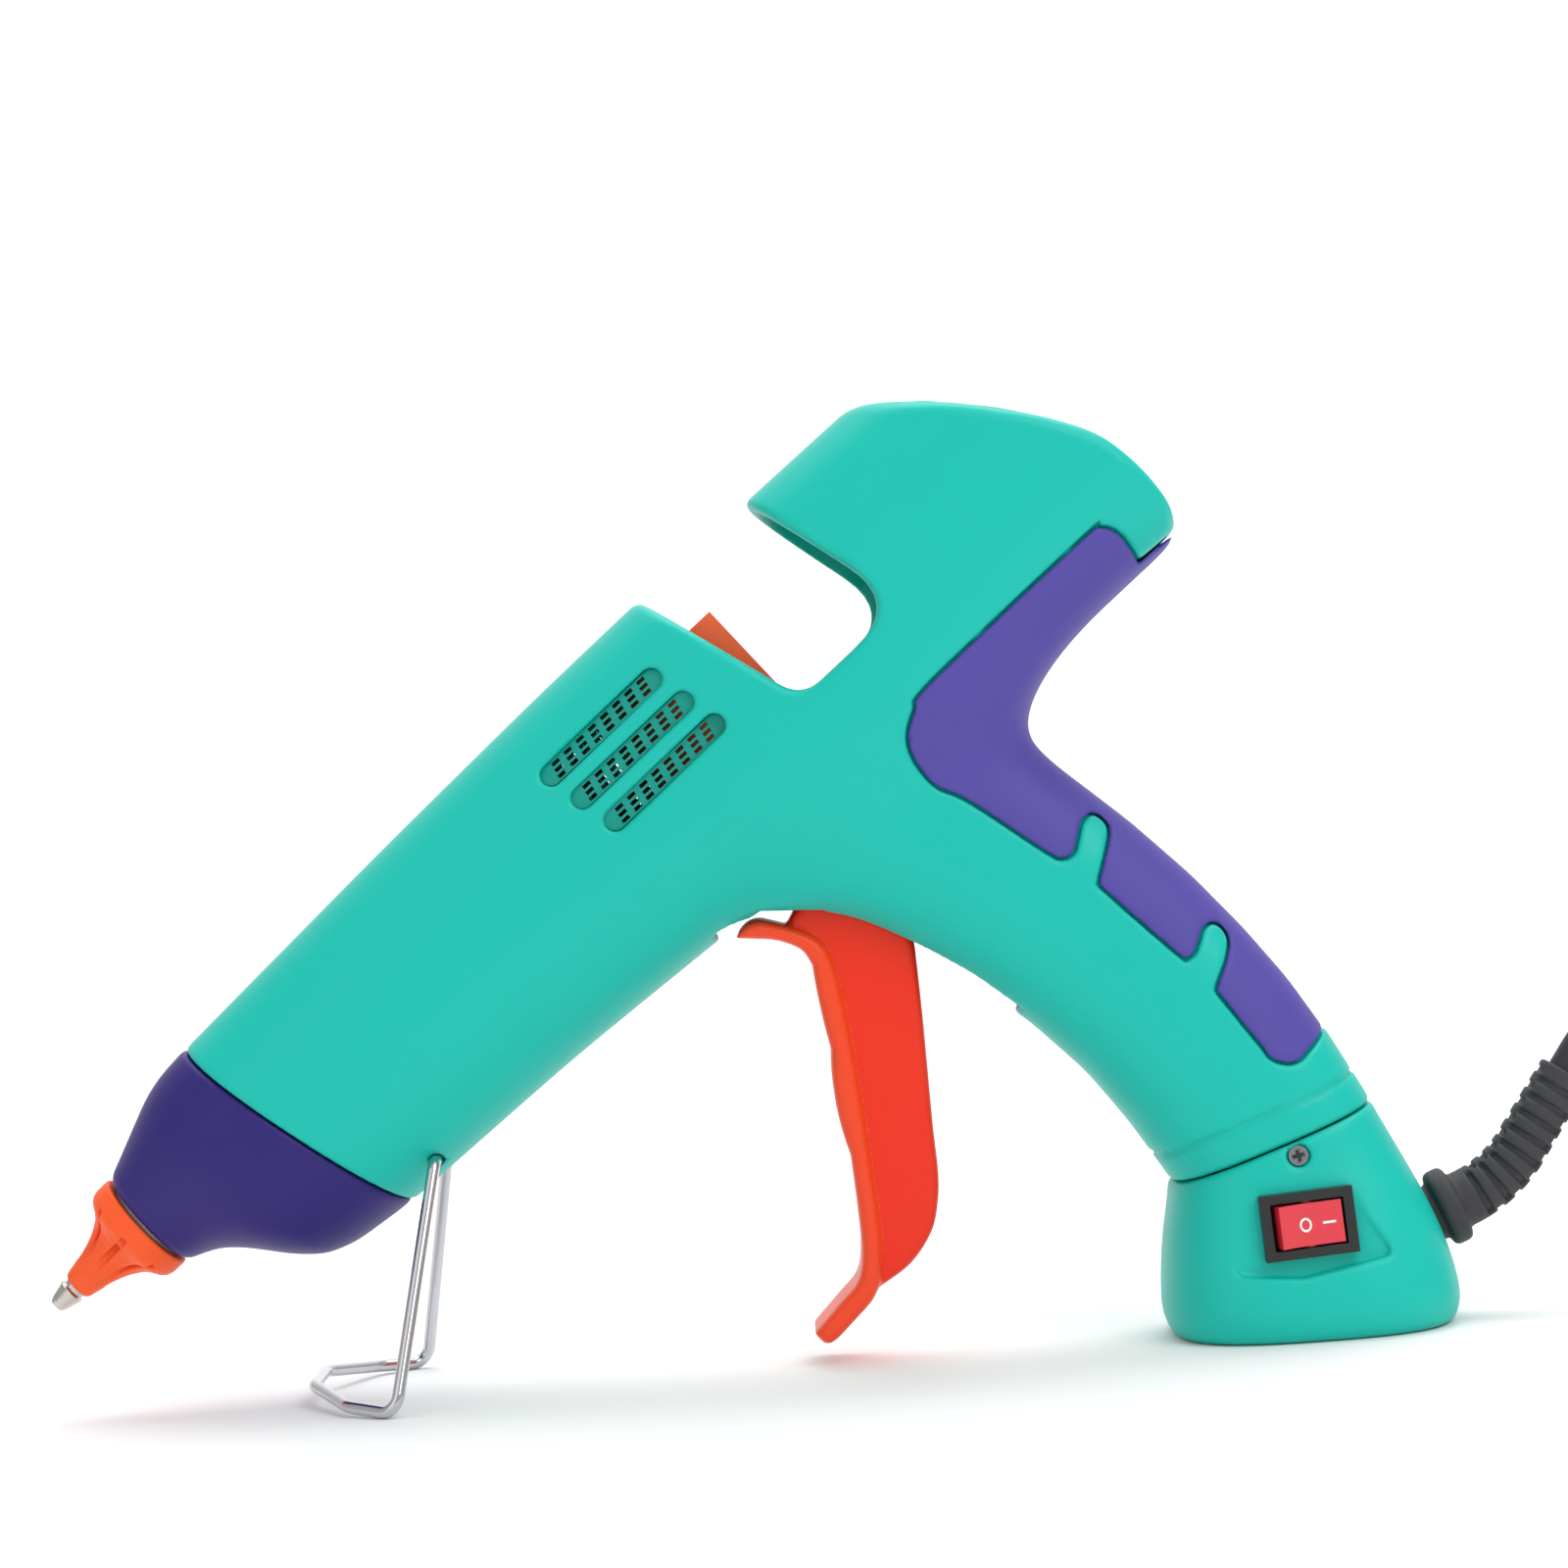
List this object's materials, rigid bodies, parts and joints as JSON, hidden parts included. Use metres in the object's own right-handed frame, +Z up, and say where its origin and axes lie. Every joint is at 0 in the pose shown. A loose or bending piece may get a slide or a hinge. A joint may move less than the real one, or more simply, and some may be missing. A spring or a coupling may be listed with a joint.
{
  "type": "hot_glue_gun",
  "caption": "Corded hot glue gun standing on a wide foot and folding wire stand, with sleeved nozzle, open stick notch, trigger feed, side rocker switch and put-away mains lead",
  "frame": {"origin": "middle of the bounding box on the floor, mains lead left out", "axes": "+X from nozzle to handle, +Z up, the switch side faces -Y"},
  "size_m": [0.4096, 0.076, 0.1562],
  "materials": {
    "teal_shell": "satin",
    "violet_shroud": "satin",
    "violet_grip": "matte",
    "teal_screen": "matte",
    "steel": "brushed",
    "black_plastic": "satin",
    "brass": "satin",
    "grey_rubber": "matte",
    "lead_sleeving": "matte",
    "cast_aluminium": "cast",
    "insulating_board": "matte",
    "bright_nozzle": "polished",
    "orange_silicone": "matte",
    "heater_ceramic": "matte",
    "insulating_film": "gloss",
    "inlet_silicone": "matte",
    "cord_black": "matte",
    "orange_trigger": "satin",
    "red_rocker": "gloss",
    "stand_wire": "polished"
  },
  "bodies": {
    "gun": {"left_housing": "teal_shell", "right_housing": "teal_shell", "front_shroud": "violet_shroud", "left_grip_insert": "violet_grip", "right_grip_insert": "violet_grip", "left_vent_screen": "teal_screen", "right_vent_screen": "teal_screen", "housing_screws": "steel", "rear_stick_guide": "teal_screen", "base_foot": "teal_shell", "foot_screws": "steel", "switch_body": "black_plastic", "switch_terminals": "brass", "strain_relief": "grey_rubber", "cord_clamp": "black_plastic", "clamp_screws": "steel", "inner_leads": "lead_sleeving", "melt_chamber": "cast_aluminium", "chamber_supports": "insulating_board", "nozzle": "bright_nozzle", "nozzle_sleeve": "orange_silicone", "valve_spring": "steel", "heater_element": "heater_ceramic", "electrode_plates": "brass", "heater_insulators": "insulating_film", "heater_wedge": "cast_aluminium", "inlet_sleeve": "inlet_silicone", "sleeve_clamp": "steel", "spring_seat": "steel", "return_spring": "steel", "trigger_pin": "steel", "power_cord": "cord_black", "cord_coil": "cord_black", "cord_tail": "cord_black", "plug_body": "cord_black", "plug_pins": "bright_nozzle"},
    "trigger": {"trigger": "orange_trigger"},
    "carriage": {"feed_carriage": "orange_trigger", "jaw_pin": "steel"},
    "jaw": {"feed_jaw": "steel"},
    "rocker": {"switch_rocker": "red_rocker"},
    "stand": {"wire_stand": "stand_wire"},
    "ball": {"valve_ball": "steel"}
  },
  "joints": [
    {"name": "trigger_pull", "type": "hinge", "parent": "gun", "child": "trigger", "pos_m": [0.02345, 0, 0.08605], "axis": [0, -1, 0], "range_deg": [0, 20], "stiffness_Nm_per_rad": 0.9, "springref_deg": -17.19},
    {"name": "carriage_feed", "type": "slide", "parent": "gun", "child": "carriage", "axis": [-0.7777, 0, -0.6286], "range_m": [0, 0.0085], "deforming": ["return_spring"]},
    {"name": "jaw_bite", "type": "hinge", "parent": "carriage", "child": "jaw", "pos_m": [0.00849, 0, 0.10854], "axis": [0, 1, 0], "range_deg": [0, 8]},
    {"name": "rocker_switch", "type": "hinge", "parent": "gun", "child": "rocker", "pos_m": [0.0892, -0.0184, 0.0189], "axis": [0.0558, 0, -0.9984], "range_deg": [0, 16]},
    {"name": "stand_fold", "type": "hinge", "parent": "gun", "child": "stand", "pos_m": [-0.04991, 0, 0.03858], "axis": [0, -1, 0], "range_deg": [0, 115]},
    {"name": "valve_lift", "type": "slide", "parent": "gun", "child": "ball", "axis": [-0.7777, 0, -0.6286], "range_m": [0, 0.0012], "stiffness_N_per_m": 300, "springref_m": -0.001, "deforming": ["valve_spring"]}
  ],
  "couplings": [
    {"joint": "carriage_feed", "follows": "trigger_pull", "m_per_rad": 0.0228},
    {"joint": "jaw_bite", "follows": "trigger_pull", "ratio": 0.38}
  ]
}
